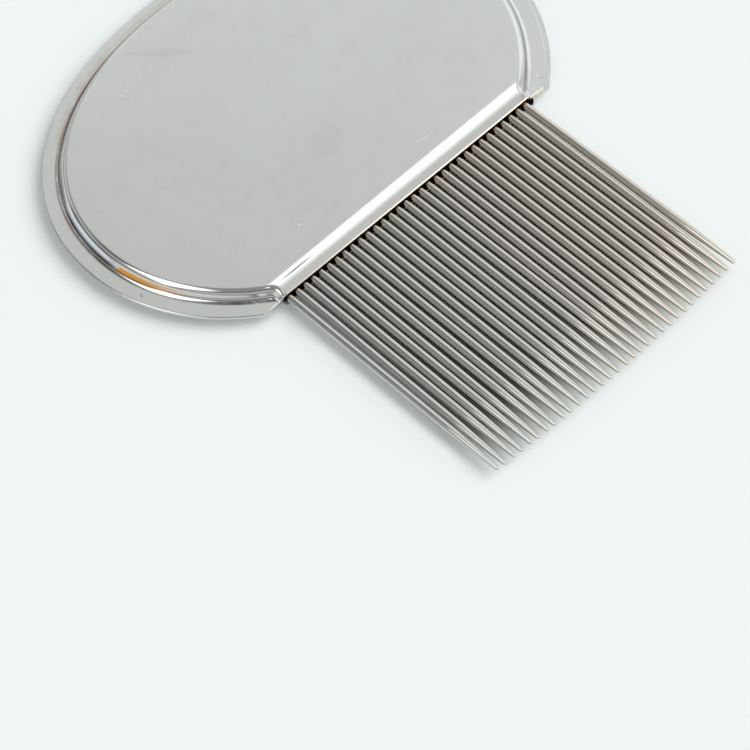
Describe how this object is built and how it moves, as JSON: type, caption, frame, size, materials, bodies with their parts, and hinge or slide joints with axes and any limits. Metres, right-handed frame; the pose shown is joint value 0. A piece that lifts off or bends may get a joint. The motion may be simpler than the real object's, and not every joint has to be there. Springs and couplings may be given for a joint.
{
  "type": "flea comb",
  "caption": "All-metal flea comb: an oval handle pressed from two stainless sheets, with a raised panel and flat flange, gripping a straight row of fine, closely spaced, round-tipped steel pins",
  "frame": {"origin": "Centre of the handle's oval, on the flat outside of the rear panel, which is the face the comb lies on.", "axes": "+X along the row of teeth, +Y from the tips towards the handle, +Z out of the front panel."},
  "size_m": [0.0749, 0.0921, 0.0036],
  "materials": {
    "sheet": "satin polished stainless sheet",
    "teeth": "bright ground wire with fine cross marks",
    "bar": "plain machined",
    "potting": "black epoxy"
  },
  "bodies": {
    "root": {"front_shell": "sheet", "rear_shell": "sheet", "tooth_bar": "bar", "root_potting": "potting", "tooth_01": "teeth", "tooth_02": "teeth", "tooth_03": "teeth", "tooth_04": "teeth", "tooth_05": "teeth", "tooth_06": "teeth", "tooth_07": "teeth", "tooth_08": "teeth", "tooth_09": "teeth", "tooth_10": "teeth", "tooth_11": "teeth", "tooth_12": "teeth", "tooth_13": "teeth", "tooth_14": "teeth", "tooth_15": "teeth", "tooth_16": "teeth", "tooth_17": "teeth", "tooth_18": "teeth", "tooth_19": "teeth", "tooth_20": "teeth", "tooth_21": "teeth", "tooth_22": "teeth", "tooth_23": "teeth", "tooth_24": "teeth", "tooth_25": "teeth", "tooth_26": "teeth", "tooth_27": "teeth", "tooth_28": "teeth", "tooth_29": "teeth", "tooth_30": "teeth", "tooth_31": "teeth", "tooth_32": "teeth"}
  },
  "joints": []
}
